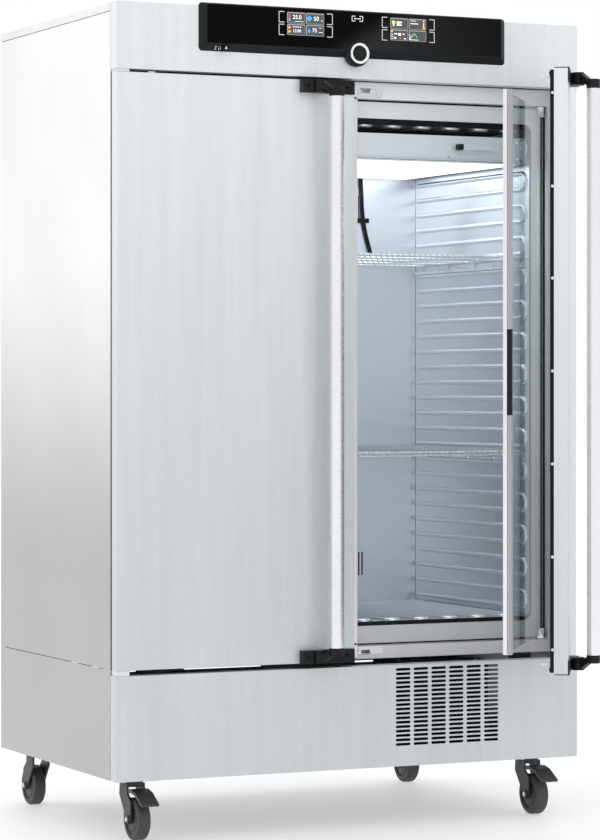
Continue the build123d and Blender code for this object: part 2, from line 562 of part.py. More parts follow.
FK = {1: fork(1), -1: fork(-1)}
for nm, sx, y, sgn in (("front_left", -1, SFY, -1), ("front_right", 1, SFY, -1), ("rear_left", -1, SRY, 1), ("rear_right", 1, SRY, 1)):
    save("castor_fork_" + nm, Pos(sx * SWX, y, 0) * FK[sgn])
    save("castor_wheel_" + nm, [Pos(sx * SWX, y + sgn * TRAIL, WR) * q for q in wheel()])
    if nm.startswith("front"):
        save("brake_pedal_" + nm, Pos(sx * SWX, y, 0) * pedal(sgn))
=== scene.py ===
import bpy, bmesh, math, random
from mathutils import Vector, Matrix


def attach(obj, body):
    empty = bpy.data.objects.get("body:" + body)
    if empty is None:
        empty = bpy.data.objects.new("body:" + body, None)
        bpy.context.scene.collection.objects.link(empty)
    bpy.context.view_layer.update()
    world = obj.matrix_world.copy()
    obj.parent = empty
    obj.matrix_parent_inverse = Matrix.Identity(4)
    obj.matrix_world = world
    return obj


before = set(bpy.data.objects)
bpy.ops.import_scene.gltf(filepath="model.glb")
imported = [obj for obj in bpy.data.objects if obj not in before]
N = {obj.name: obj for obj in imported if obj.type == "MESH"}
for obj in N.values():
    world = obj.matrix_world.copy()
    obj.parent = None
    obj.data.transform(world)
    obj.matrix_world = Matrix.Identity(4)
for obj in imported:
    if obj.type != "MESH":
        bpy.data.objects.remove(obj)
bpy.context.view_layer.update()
scene = bpy.context.scene

# ------------------------------------------------------------------ measures, mm, X right, Y back from the front face, Z up
HX, HY = 606.0, 5.0
GX, GY = 541.0, 55.0
A_DOOR, A_GLASS = math.radians(58.0), math.radians(51.6)
YO = -392.0
random.seed(7)


def V(x, y, z):
    return Vector((x / 1000.0, (y + YO) / 1000.0, z / 1000.0))


def swing(hx, hy, a):
    p = V(hx, hy, 0)
    return Matrix.Translation(p) @ Matrix.Rotation(a, 4, "Z") @ Matrix.Translation(-p)


DR = swing(HX, HY, A_DOOR)
GR = swing(GX, GY, A_GLASS)
MIR = Matrix.Scale(-1, 4, (1, 0, 0))


# ================================================================== materials
class NT:
    """Small helper to build a node tree."""

    def __init__(self, name):
        self.m = bpy.data.materials.new(name)
        self.m.use_nodes = True
        self.t = self.m.node_tree
        self.t.nodes.clear()
        self.out = self.t.nodes.new("ShaderNodeOutputMaterial")
        self.bsdf = self.t.nodes.new("ShaderNodeBsdfPrincipled")
        self.t.links.new(self.bsdf.outputs[0], self.out.inputs[0])

    def n(self, kind, **kw):
        nd = self.t.nodes.new(kind)
        for k, v in kw.items():
            setattr(nd, k, v)
        return nd

    def link(self, a, b):
        self.t.links.new(a, b)

    def set(self, **kw):
        for k, v in kw.items():
            s = self.bsdf.inputs[k.replace("_", " ")]
            s.default_value = v if not isinstance(v, tuple) or len(v) != 3 else (*v, 1.0)

    def math(self, op, a, b=None, c=None):
        nd = self.n("ShaderNodeMath", operation=op)
        for i, v in enumerate((a, b, c)):
            if v is None:
                continue
            if isinstance(v, (int, float)):
                nd.inputs[i].default_value = v
            else:
                self.link(v, nd.inputs[i])
        return nd.outputs[0]

    def coords(self, rotz=0.0, scale=(1, 1, 1)):
        tc = self.n("ShaderNodeTexCoord")
        mp = self.n("ShaderNodeMapping")
        mp.inputs["Rotation"].default_value = (0, 0, rotz)
        mp.inputs["Scale"].default_value = scale
        self.link(tc.outputs["Object"], mp.inputs[0])
        return mp.outputs[0]

    def noise(self, vec, scale, detail=3.0, rough=0.5):
        nd = self.n("ShaderNodeTexNoise")
        nd.inputs["Scale"].default_value = scale
        nd.inputs["Detail"].default_value = detail
        nd.inputs["Roughness"].default_value = rough
        self.link(vec, nd.inputs["Vector"])
        return nd.outputs["Fac"]

    def remap(self, v, a, b, c, d):
        nd = self.n("ShaderNodeMapRange")
        nd.inputs["From Min"].default_value = a
        nd.inputs["From Max"].default_value = b
        nd.inputs["To Min"].default_value = c
        nd.inputs["To Max"].default_value = d
        self.link(v, nd.inputs["Value"])
        return nd.outputs[0]

    def mixcol(self, fac, c1, c2):
        nd = self.n("ShaderNodeMix", data_type="RGBA")
        if isinstance(fac, (int, float)):
            nd.inputs[0].default_value = fac
        else:
            self.link(fac, nd.inputs[0])
        for i, c in ((6, c1), (7, c2)):
            if isinstance(c, tuple):
                nd.inputs[i].default_value = (*c, 1.0)
            else:
                self.link(c, nd.inputs[i])
        return nd.outputs[2]

    def bump(self, height, strength=0.2, dist=0.001, normal=None):
        nd = self.n("ShaderNodeBump")
        nd.inputs["Strength"].default_value = strength
        nd.inputs["Distance"].default_value = dist
        self.link(height, nd.inputs["Height"])
        if normal is not None:
            self.link(normal, nd.inputs["Normal"])
        return nd.outputs[0]

    def bevel(self, r, samples=4):
        nd = self.n("ShaderNodeBevel", samples=samples)
        nd.inputs["Radius"].default_value = r
        return nd.outputs[0]


def paint_height_shade(m, col, z0, z1, f0, f1):
    """Painted light and shade: colour scaled by height, from f0 at z0 to f1 at z1, giving a lit top and a shaded
    bottom.
    """
    tc = m.n("ShaderNodeTexCoord")
    sp = m.n("ShaderNodeSeparateXYZ")
    m.link(tc.outputs["Object"], sp.inputs[0])
    r = m.n("ShaderNodeMapRange", interpolation_type="SMOOTHSTEP")
    for k, v in (("From Min", z0), ("From Max", z1), ("To Min", f0), ("To Max", f1)):
        r.inputs[k].default_value = v
    m.link(sp.outputs[2], r.inputs["Value"])
    q = m.n("ShaderNodeVectorMath", operation="SCALE")
    m.link(col, q.inputs[0])
    m.link(r.outputs[0], q.inputs["Scale"])
    return q.outputs[0]

def steel_front(name, rotz=0.0, base=(0.69, 0.722, 0.742), px=0.0064, rz=0.0034):
    """Embossed linen-pattern stainless sheet: small dimples in staggered rows, their light and dark sides painted into
    the colour, with painted shade darker towards the bottom and lighter at the top.
    """
    m = NT(name)
    m.set(Metallic=0.35, Base_Color=base)
    vec = m.coords(rotz)
    sep = m.n("ShaderNodeSeparateXYZ")
    m.link(vec, sep.inputs[0])
    u = m.math("ADD", sep.outputs[0], sep.outputs[1])
    v = sep.outputs[2]
    wav = m.noise(m.coords(rotz, (26, 26, 2.2)), 1.0, 2.0, 0.5)
    u = m.math("ADD", u, m.math("MULTIPLY", wav, 0.0012))
    a = m.math("COSINE", m.math("MULTIPLY", u, 2 * math.pi / px))
    b = m.math("COSINE", m.math("MULTIPLY", v, math.pi / rz))
    h = m.math("MULTIPLY", a, b)
    streak = m.noise(m.coords(rotz, (34, 34, 1.6)), 1.0, 3.0, 0.6)
    nz = m.noise(vec, 3.0, 4.0, 0.6)
    fine = m.noise(vec, 900.0, 2.0)
    # painted shade and highlight: the dimples' lit and shaded sides are painted into the colour (0.76 to 1.20 of base),
    # plus random streaks
    k = m.math("ADD", m.remap(h, -1.0, 1.0, 0.0, 1.0), m.remap(streak, 0.25, 0.75, -0.10, 0.10))
    col = m.mixcol(k, tuple(c * 0.76 for c in base), tuple(min(1, c * 1.20) for c in base))
    # painted light and shade: the colour runs from 0.90 of itself low down to 1.13 at the top
    m.link(paint_height_shade(m, col, 0.35, 1.98, 0.90, 1.13), m.bsdf.inputs["Base Color"])
    r = m.math("ADD", m.remap(nz, 0.3, 0.7, 0.44, 0.52), m.math("MULTIPLY", fine, 0.03))
    m.link(r, m.bsdf.inputs["Roughness"])
    m.link(m.bump(h, 0.35, 0.0006, m.bevel(0.0012)), m.bsdf.inputs["Normal"])
    return m.m


def steel(name, base=(0.78, 0.79, 0.80), rough=(0.22, 0.32), dirv=(1, 1, 60), bump=0.05, metal=1.0, bevel=0.0008, rotz=0.0, blotch=0.04, height_shade_ramp=None):
    """Satin sheet with a fine grain and slight unevenness; an optional height ramp paints light at the top and shade
    lower down into the colour.
    """
    m = NT(name)
    m.set(Metallic=metal, Base_Color=base)
    vec = m.coords(rotz, dirv)
    g = m.noise(vec, 40.0, 6.0, 0.65)
    big = m.noise(m.coords(rotz), 2.2, 3.0, 0.55)
    col = m.mixcol(m.remap(big, 0.3, 0.7, 0.0, 1.0), tuple(c * (1 - blotch) for c in base), tuple(min(1.0, c * (1 + blotch)) for c in base))
    m.link(paint_height_shade(m, col, *height_shade_ramp) if height_shade_ramp else col, m.bsdf.inputs["Base Color"])
    m.link(m.math("ADD", m.remap(g, 0.3, 0.7, rough[0], rough[1]), m.math("MULTIPLY", m.math("SUBTRACT", big, 0.5), 0.08)), m.bsdf.inputs["Roughness"])
    m.link(m.bump(g, bump, 0.0004, m.bevel(bevel) if bevel else None), m.bsdf.inputs["Normal"])
    return m.m


def plastic(name, base=(0.03, 0.03, 0.032), rough=0.42, grain=0.10, scale=1800.0, coat=0.0, bevel=0.0008, spec=0.5):
    m = NT(name)
    m.set(Metallic=0.0, Base_Color=base, Coat_Weight=coat, Specular_IOR_Level=spec)
    vec = m.coords()
    g = m.noise(vec, scale, 3.0, 0.6)
    big = m.noise(vec, 14.0, 4.0, 0.6)
    m.link(m.remap(big, 0.3, 0.7, rough - 0.05, rough + 0.06), m.bsdf.inputs["Roughness"])
    col = m.mixcol(m.remap(big, 0.3, 0.7, 0.0, 1.0), tuple(c * 0.9 for c in base), tuple(min(1, c * 1.12) for c in base))
    m.link(col, m.bsdf.inputs["Base Color"])
    m.link(m.bump(g, grain, 0.0003, m.bevel(bevel) if bevel else None), m.bsdf.inputs["Normal"])
    return m.m


def emit(name, col, strength):
    m = NT(name)
    m.set(Base_Color=col, Roughness=0.5, Emission_Color=col, Emission_Strength=strength)
    vec = m.coords()
    g = m.noise(vec, 60.0, 2.0)
    m.link(m.remap(g, 0.3, 0.7, 0.45, 0.55), m.bsdf.inputs["Roughness"])
    return m.m


M = {}
M["front"] = steel_front("front_linen_steel")
M["front_door_r"] = steel_front("front_linen_steel_door_r", rotz=-A_DOOR)
# painted light and shade on the side panels: colour lighter at the top, darker towards the bottom
M["side"] = steel("side_satin_steel", base=(0.83, 0.84, 0.85), rough=(0.30, 0.38), dirv=(1, 1, 30), metal=0.85, bump=0.03, height_shade_ramp=(0.60, 1.42, 0.557, 1.08))
M["top"] = steel("top_satin_steel", base=(0.82, 0.83, 0.84), rough=(0.32, 0.40), dirv=(1, 30, 1), metal=0.85, bump=0.03)
M["rear"] = steel("rear_galvanised", base=(0.55, 0.57, 0.59), rough=(0.42, 0.52), dirv=(1, 1, 1), metal=0.7, bump=0.05, blotch=0.10)
# painted light and shade on the front frame: colour lighter at the top, darker towards the bottom
M["frame"] = steel("frame_lilac_grey", base=(0.84, 0.83, 0.86), rough=(0.34, 0.40), dirv=(1, 1, 1), metal=0.15, bump=0.02, height_shade_ramp=(0.45, 1.75, 0.74, 1.12))
# painted shade: the inner half of the leaf's free-edge profile, lilac grey darkened to half its brightness
M["leaf_edge_shade"] = steel("leaf_edge_painted_shade", base=(0.42, 0.40, 0.43), rough=(0.34, 0.40), dirv=(30, 30, 1), metal=0.3, bump=0.02)
M["gframe"] = steel("leaf_lilac_grey", base=(0.84, 0.82, 0.85), rough=(0.28, 0.34), dirv=(30, 30, 1), metal=0.55, bump=0.02)
M["liner"] = steel("liner_bright_steel", base=(0.78, 0.81, 0.855), rough=(0.20, 0.27), dirv=(1, 30, 1), metal=0.9, bump=0.03)
M["baffle"] = steel("baffle_satin_steel", base=(0.78, 0.81, 0.86), rough=(0.32, 0.40), dirv=(1, 1, 30), metal=0.8, bump=0.03)
M["wire"] = steel("wire_polished", base=(0.82, 0.84, 0.86), rough=(0.16, 0.24), dirv=(1, 30, 1), metal=0.95, bump=0.02)
M["light"] = steel("light_unit_steel", base=(0.86, 0.885, 0.92), rough=(0.30, 0.38), dirv=(30, 1, 1), metal=0.45, bump=0.03)
M["tube"] = steel("tube_anodised", base=(0.84, 0.83, 0.86), rough=(0.24, 0.30), dirv=(1, 1, 60), metal=0.9, bump=0.03)
M["zinc"] = steel("zinc_fittings", base=(0.72, 0.72, 0.73), rough=(0.25, 0.36), dirv=(1, 1, 1), metal=1.0, bump=0.04)
M["alu"] = steel("alu_fins", base=(0.70, 0.71, 0.72), rough=(0.3, 0.42), dirv=(1, 1, 1), metal=1.0, bump=0.04)
M["dark"] = steel("dark_parts", base=(0.035, 0.036, 0.038), rough=(0.45, 0.6), dirv=(1, 1, 1), metal=0.2, bump=0.05)
M["chrome"] = steel("chrome_ring", base=(0.86, 0.86, 0.87), rough=(0.06, 0.12), dirv=(1, 60, 1), metal=1.0, bump=0.02)
M["black"] = plastic("black_plastic", base=(0.011, 0.011, 0.0115), rough=0.42, spec=0.18)
M["bezel"] = plastic("bezel_plastic", base=(0.0150, 0.0150, 0.0155), rough=0.42, grain=0.05, spec=0.16)
M["rubber"] = plastic("black_silicone", base=(0.008, 0.008, 0.008), rough=0.5, grain=0.05, spec=0.15)
M["tyre"] = plastic("tyre_grey", base=(0.045, 0.046, 0.048), rough=0.55, grain=0.12)
M["hub"] = plastic("castor_grey", base=(0.030, 0.031, 0.033), rough=0.42, grain=0.10)
M["white"] = plastic("white_plastic", base=(0.80, 0.80, 0.80), rough=0.35, grain=0.04)
M["foam"] = plastic("foam_yellow", base=(0.72, 0.62, 0.38), rough=0.85, grain=0.3, scale=400)
M["pcb"] = plastic("control_electronics", base=(0.30, 0.33, 0.32), rough=0.45, grain=0.05)
M["display"] = plastic("display_black", base=(0.003, 0.003, 0.004), rough=0.2, grain=0.0, spec=0.08)
M["tile"] = emit("display_tile", (0.062, 0.064, 0.067), 0.4)
M["glyph"] = emit("display_glyph", (0.85, 0.87, 0.9), 0.8)
M["mark"] = emit("touch_marks", (0.66, 0.67, 0.68), 0.35)
M["tile_edge"] = emit("display_tile_edge", (0.42, 0.43, 0.44), 0.35)
M["ico_red"] = emit("display_red", (0.80, 0.06, 0.04), 0.7)
M["ico_blue"] = emit("display_blue", (0.06, 0.30, 0.75), 0.8)
M["ico_amber"] = emit("display_amber", (0.85, 0.36, 0.04), 0.8)
M["ico_yellow"] = emit("display_yellow", (0.85, 0.75, 0.12), 0.9)
M["ico_teal"] = emit("display_teal", (0.10, 0.65, 0.55), 0.7)
M["knobface"] = plastic("knob_face_black", base=(0.006, 0.010, 0.011), rough=0.16, grain=0.0, bevel=0.0, spec=0.2)

# gloss black control glass: black on the left, a soft slanting sheen painted into the base colour to the right
m = NT("control_glass_black")
m.set(Base_Color=(0.002, 0.002, 0.002), Roughness=0.08, Specular_IOR_Level=0.05)
vec = m.coords()
sep = m.n("ShaderNodeSeparateXYZ")
m.link(vec, sep.inputs[0])
sl = m.math("SUBTRACT", m.math("MULTIPLY", m.math("ADD", sep.outputs[0], 0.0728), 0.598), m.math("SUBTRACT", sep.outputs[2], 1.8648))
nd = m.n("ShaderNodeMapRange", interpolation_type="SMOOTHSTEP")
for k_, v_ in (("From Min", -0.012), ("From Max", 0.055), ("To Min", 0.0), ("To Max", 1.0)):
    nd.inputs[k_].default_value = v_
m.link(sl, nd.inputs["Value"])
fall = m.remap(sep.outputs[0], 0.02, 0.39, 1.0, 0.22)
fac = m.math("MULTIPLY", nd.outputs[0], fall)
fac = m.math("MULTIPLY", fac, m.remap(sep.outputs[2], 1.862, 1.952, 1.0, 0.72))
fac = m.math("MULTIPLY", fac, m.remap(m.noise(vec, 12.0, 3.0), 0.3, 0.7, 0.96, 1.04))
m.link(m.mixcol(fac, (0.0012, 0.0012, 0.0013), (0.027, 0.029, 0.029)), m.bsdf.inputs["Base Color"])
m.link(m.remap(m.noise(vec, 9.0, 3.0), 0.3, 0.7, 0.06, 0.12), m.bsdf.inputs["Roughness"])
m.link(m.bump(m.noise(vec, 4.0, 2.0), 0.02, 0.001, m.bevel(0.0006)), m.bsdf.inputs["Normal"])
M["cglass"] = m.m

# clear leaf glass: tinted, thin
m = NT("leaf_glass")
m.set(Base_Color=(0.86, 0.95, 0.94), Roughness=0.02, Transmission_Weight=1.0, IOR=1.06, Specular_IOR_Level=0.5, Coat_Weight=0.5, Coat_Roughness=0.02)
vec = m.coords()
m.link(m.remap(m.noise(vec, 3.0, 3.0), 0.3, 0.7, 0.01, 0.035), m.bsdf.inputs["Roughness"])
M["glass"] = m.m

# lit opal sheet
m = NT("light_opal")
m.set(Base_Color=(0.95, 0.97, 1.0), Roughness=0.5, Emission_Color=(0.93, 0.97, 1.0), Emission_Strength=1.3)
vec = m.coords()
m.link(m.remap(m.noise(vec, 30.0, 2.0), 0.3, 0.7, 0.40, 0.60), m.bsdf.inputs["Roughness"])
M["opal"] = m.m


def give(node, mat):
    o = N[node]
    o.data.materials.clear()
    o.data.materials.append(mat)


assign = {
    "side_panel_left": "side", "side_panel_right": "side", "top_cover": "top", "rear_cover": "rear", "tilt_bracket": "zinc",
    "base_chassis": "dark", "castor_plates": "zinc", "base_front_panel": "front", "fascia_panel": "front",
    "control_housing": "bezel", "control_glass": "cglass", "control_electronics": "pcb", "front_frame": "frame",
    "mouth_gasket": "rubber", "chamber_liner": "liner", "insulation": "foam", "air_baffle": "baffle", "evaporator": "alu",
    "fan_motor": "alu", "circulation_fan": "alu", "compressor": "dark", "condenser": "dark", "condenser_fan": "black",
    "door_fittings": "zinc", "sensor_lead": "black", "shelf_upper": "wire", "shelf_lower": "wire", "light_housing": "light",
    "light_diffuser": "opal", "knob_ring": "chrome", "knob_button": "knobface", "main_switch": "display",
    "door_left_skin": "front", "door_right_skin": "front_door_r",
}
for s in ("left", "right"):
    assign["door_%s_liner" % s] = "light"
    assign["door_%s_gasket" % s] = "rubber"
    assign["door_%s_handle_mounts" % s] = "black"
    assign["handle_%s_arms" % s] = "black"
    assign["handle_%s_tube" % s] = "tube"
    assign["latch_%s_pins" % s] = "white"
    assign["glass_%s_frame" % s] = "gframe"
    assign["glass_%s_pane" % s] = "glass"
for c in ("front_left", "front_right", "rear_left", "rear_right"):
    assign["castor_fork_" + c] = "hub"
    assign["castor_wheel_" + c] = "tyre"
    if c.startswith("front"):
        assign["brake_pedal_" + c] = "hub"
for k, v in assign.items():
    give(k, M[v])


# ================================================================== helpers for the added pieces
def finish_mesh(name, bm, mat, body, xf=None, smooth=False):
    if xf is not None:
        bmesh.ops.transform(bm, matrix=xf, verts=bm.verts)
        if xf.determinant() < 0:
            bmesh.ops.reverse_faces(bm, faces=bm.faces)
    me = bpy.data.meshes.new(name)
    bm.normal_update()
    bm.to_mesh(me)
    bm.free()
    o = bpy.data.objects.new(name, me)
    o.data.materials.append(mat)
    scene.collection.objects.link(o)
    if smooth:
        for p in me.polygons:
            p.use_smooth = True
        me.set_sharp_from_angle(angle=math.radians(35))
    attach(o, body)
    return o


def add_box(bm, x0, x1, y0, y1, z0, z1, bev=0.0, seg=2, rot=None):
    """Box in mm, with rounded edges; rot = (matrix in metres) applied to this box only."""
    c = V((x0 + x1) / 2, (y0 + y1) / 2, (z0 + z1) / 2)
    mat = Matrix.Translation(c) @ Matrix.Diagonal((abs(x1 - x0) / 1000, abs(y1 - y0) / 1000, abs(z1 - z0) / 1000, 1))
    r = bmesh.ops.create_cube(bm, size=1.0, matrix=mat)
    vs = r["verts"]
    if bev > 0:
        es = list({e for v in vs for e in v.link_edges})
        rb = bmesh.ops.bevel(bm, geom=es, offset=bev / 1000, segments=seg, affect="EDGES", profile=0.5)
        vs = list({v for f in rb["faces"] for v in f.verts} | {v for v in vs if v.is_valid})
    if rot is not None:
        bmesh.ops.transform(bm, matrix=rot, verts=vs)
    return vs


AX = {"z": Matrix.Identity(4), "y": Matrix.Rotation(math.radians(90), 4, "X"), "x": Matrix.Rotation(math.radians(90), 4, "Y")}


def add_cyl(bm, x, y, z, r, h, axis="z", seg=24, r2=None, bev=0.0):
    mat = Matrix.Translation(V(x, y, z)) @ AX[axis]
    q = bmesh.ops.create_cone(bm, cap_ends=True, segments=seg, radius1=r / 1000, radius2=(r if r2 is None else r2) / 1000, depth=h / 1000, matrix=mat)
    if bev > 0:
        ax = mat.to_3x3() @ Vector((0, 0, 1))
        c = V(x, y, z)
        es = [e for e in {e for v in q["verts"] for e in v.link_edges} if abs((e.verts[0].co - e.verts[1].co).normalized().dot(ax)) < 0.5]
        bmesh.ops.bevel(bm, geom=es, offset=bev / 1000, segments=2, affect="EDGES", profile=0.5)


def box(name, x0, x1, y0, y1, z0, z1, mat, body, bev=0.4, xf=None, seg=2):
    bm = bmesh.new()
    add_box(bm, x0, x1, y0, y1, z0, z1, bev, seg)
    return finish_mesh(name, bm, M[mat], body, xf)


def rods(name, pts, r, mat, body, xf=None, cyclic=False, res=6):
    cu = bpy.data.curves.new(name, "CURVE")
    cu.dimensions = "3D"
    cu.bevel_depth = r / 1000
    cu.bevel_resolution = res
    cu.use_fill_caps = True
    sp = cu.splines.new("POLY")
    sp.points.add(len(pts) - 1)
    for i, p in enumerate(pts):
        q = V(*p)
        if xf is not None:
            q = xf @ q
        sp.points[i].co = (*q, 1.0)
    sp.use_cyclic_u = cyclic
    o = bpy.data.objects.new(name, cu)
    o.data.materials.append(M[mat])
    scene.collection.objects.link(o)
    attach(o, body)
    return o


def screw(bm, x, y, z, r=3.2, h=1.4, axis="y", sgn=-1):
    """Pan head with a cross recess, its head pointing to sgn along the axis."""
    prof = [(0.0, h), (r * 0.55, h * 0.96), (r * 0.85, h * 0.72), (r, h * 0.30), (r, 0.0)]
    seg = 20
    rings = []
    base = Matrix.Translation(V(x, y, z)) @ {"y": Matrix.Rotation(math.radians(-90 * -sgn), 4, "X"), "x": Matrix.Rotation(math.radians(90 * sgn), 4, "Y"), "z": Matrix.Identity(4)}[axis]
    for pr, ph in prof:
        ring = []
        if pr == 0:
            ring = [bm.verts.new(base @ Vector((0, 0, ph / 1000)))]
        else:
            for k in range(seg):
                a = 2 * math.pi * k / seg
                ring.append(bm.verts.new(base @ Vector((pr * math.cos(a) / 1000, pr * math.sin(a) / 1000, ph / 1000))))
        rings.append(ring)
    for k in range(seg):
        bm.faces.new((rings[0][0], rings[1][k], rings[1][(k + 1) % seg]))
    for i in range(1, len(rings) - 1):
        for k in range(seg):
            bm.faces.new((rings[i][k], rings[i + 1][k], rings[i + 1][(k + 1) % seg], rings[i][(k + 1) % seg]))
    bm.faces.new(list(reversed(rings[-1])))
    # cross recess as two dark slots is added by the caller
    return base


def text(name, s, x, y, z, size, mat, bodyname, align="LEFT"):
    cu = bpy.data.curves.new(name, "FONT")
    cu.body = s
    cu.size = size / 1000
    cu.align_x = align
    cu.align_y = "CENTER"
    cu.extrude = 0.00004
    o = bpy.data.objects.new(name, cu)
    o.data.materials.append(M[mat])
    scene.collection.objects.link(o)
    o.location = V(x, y, z)
    o.rotation_euler = (math.radians(90), 0, 0)
    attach(o, bodyname)
    return o


# ================================================================== control panel
PF = -13.2          # face of the control glass


def tile_grid(tag, xc):
    """Display window with four tiles."""
    box("display_%s_window" % tag, xc - 49.5, xc + 49.5, PF - 0.25, PF, 1888.6, 1944.4, "display", "cabinet", 0.1)
    for i, (dx, dz) in enumerate(((-24.6, 13.9), (24.6, 13.9), (-24.6, -13.9), (24.6, -13.9))):
        bm = bmesh.new()
        add_box(bm, xc + dx - 23.4, xc + dx + 23.4, PF - 0.45, PF - 0.25, 1916.5 + dz - 12.9, 1916.5 + dz + 12.9, 0.08)
        finish_mesh("display_%s_tile_%d" % (tag, i), bm, M["tile"], "cabinet")
        bm = bmesh.new()
        x0, x1, z0, z1 = xc + dx - 23.4, xc + dx + 23.4, 1916.5 + dz - 12.9, 1916.5 + dz + 12.9
        for a in ((x0, x1, z1 - 1.7, z1), (x0, x0 + 1.5, z0, z1), (x1 - 0.8, x1, z0, z1), (x0, x1, z0, z0 + 0.8)):
            add_box(bm, a[0], a[1], PF - 0.55, PF - 0.45, a[2], a[3])
        finish_mesh("display_%s_tile_edge_%d" % (tag, i), bm, M["tile_edge"], "cabinet")


def panel_boxes(name, boxes, mat, y0=PF - 0.62, y1=PF - 0.45):
    bm = bmesh.new()
    for a in boxes:
        add_box(bm, a[0], a[1], y0, y1, a[2], a[3])
    return finish_mesh(name, bm, M[mat], "cabinet")


def panel_disc(name, pts, mat, y0=PF - 0.62, y1=PF - 0.45, seg=20):
    bm = bmesh.new()
    for x, z, r in pts:
        add_cyl(bm, x, (y0 + y1) / 2, z, r, abs(y1 - y0), "y", seg)
    return finish_mesh(name, bm, M[mat], "cabinet")


LX, RX = -136.7, 136.2
tile_grid("left", LX)
tile_grid("right", RX)
# left display: temperature, fan, timer, humidity as plain figures
zt, zb_ = 1930.4, 1902.6
panel_boxes("icon_thermo_red", [(LX - 44.0, LX - 40.8, zt - 3, zt + 8.5)], "ico_red")
panel_disc("icon_thermo_bulb", [(LX - 42.4, zt - 5.5, 3.0)], "ico_blue")
text("figure_temp", "25.0", LX - 34, PF - 0.55, zt + 1.5, 13.5, "glyph", "cabinet")
panel_boxes("figure_temp_line", [(LX - 28, LX - 6, zt - 8.6, zt - 7.8)], "glyph")
panel_disc("icon_fan", [(LX + 9.5, zt + 4.2, 2.9), (LX + 9.5, zt - 4.2, 2.9), (LX + 5.3, zt, 2.9), (LX + 13.7, zt, 2.9), (LX + 9.5, zt, 2.2)], "ico_blue")
text("figure_fan", "50", LX + 21, PF - 0.55, zt, 14, "glyph", "cabinet")
panel_boxes("figure_fan_unit", [(LX + 41, LX + 44, zt - 5, zt - 3)], "glyph")
panel_disc("icon_timer", [(LX - 42.4, zb_ + 5, 3.2), (LX - 42.4, zb_ - 5, 3.2)], "ico_amber")
text("figure_timer", "12:00", LX - 34, PF - 0.55, zb_ - 3, 10, "glyph", "cabinet")
panel_boxes("timer_ticks", [(LX - 33 + 6 * i, LX - 29.5 + 6 * i, zb_ + 5.5, zb_ + 7.5) for i in range(4)], "glyph")
bm = bmesh.new()
add_cyl(bm, LX + 9.0, PF - 0.53, zb_ - 2.0, 3.6, 0.17, "y", 20)
add_cyl(bm, LX + 9.0, PF - 0.53, zb_ + 3.2, 2.4, 0.17, "y", 3)
finish_mesh("icon_drop", bm, M["ico_blue"], "cabinet")
text("figure_humidity", "75", LX + 17, PF - 0.55, zb_, 13, "glyph", "cabinet")
panel_boxes("figure_humidity_unit", [(LX + 35, LX + 44, zb_ - 4.5, zb_ - 3.3), (LX + 35, LX + 42, zb_ + 6, zb_ + 7)], "glyph")
# right display: lamp, list, program steps, curve
panel_disc("icon_lamp", [(RX - 39.5, zt + 2.5, 4.2)], "ico_yellow")
panel_boxes("icon_lamp_foot", [(RX - 41.3, RX - 37.7, zt - 6.5, zt - 2.5)], "glyph")
panel_boxes("lamp_rows", [(RX - 31, RX - 24, zt - 5, zt + 5), (RX - 22.5, RX - 18, zt - 5, zt - 2), (RX - 22.5, RX - 18, zt + 1, zt + 5)], "glyph")
panel_boxes("list_rows", [(RX + 6, RX + 27, zt + 0.5, zt + 2.2), (RX + 6, RX + 21, zt + 7.5, zt + 8.5)], "glyph")
panel_disc("list_dots", [(RX + 41.5, zt + 8, 1.7), (RX + 41.5, zt + 2, 1.7), (RX + 41.5, zt - 3, 1.7)], "glyph")
panel_disc("list_mark", [(RX + 42, zt - 8.5, 3.1)], "ico_amber")
panel_disc("steps_mark", [(RX - 44, zb_ + 9, 2.6)], "ico_amber")
panel_boxes("steps_rows", [(RX - 46, RX - 41, zb_ - 9, zb_ - 7.8), (RX - 46, RX - 41, zb_ - 4, zb_ - 2.8), (RX - 46, RX - 41, zb_ + 1, zb_ + 2.2),
                           (RX - 38, RX - 30, zb_ + 2, zb_ + 4.2), (RX - 27, RX - 20, zb_ - 1, zb_ + 5), (RX - 16, RX - 10, zb_ + 2, zb_ + 4),
                           (RX - 38, RX - 33, zb_ - 9, zb_ - 5), (RX - 12, RX - 6, zb_ - 9, zb_ - 7)], "glyph")
panel_disc("steps_red", [(RX - 21.5, zb_ - 7, 2.0)], "ico_red")
panel_boxes("curve_box", [(RX + 3.5, RX + 4.5, zb_ - 10, zb_ + 4), (RX + 3.5, RX + 28, zb_ - 10, zb_ - 9)], "glyph")


def curve_line(name, pts, mat, r=0.5):
    rods(name, [(x, PF - 0.9, z) for x, z in pts], r, mat, "cabinet", res=2)


curve_line("curve_teal", [(RX + 5 + 22 * t, zb_ - 8.5 + 13.5 * math.sin(math.pi * min(1, t * 1.12)) ** 0.8) for t in [i / 12 for i in range(11)]], "ico_teal", 0.7)
curve_line("curve_amber", [(RX + 4.5 + 12 * t, zb_ - 7 + 9 * t) for t in (0, 0.4, 0.7, 1.0)], "ico_amber", 0.6)


def bracket(tag, x0, x1, z0, z1, side, th=1.5):
    """Touch mark: a C open to one side."""
    b = [(x0, x1, z1 - th, z1), (x0, x1, z0, z0 + th)]
    b.append((x0, x0 + th, z0, z1) if side < 0 else (x1 - th, x1, z0, z1))
    panel_boxes("touch_mark_" + tag, b, "mark", PF - 0.15, PF + 0.05)


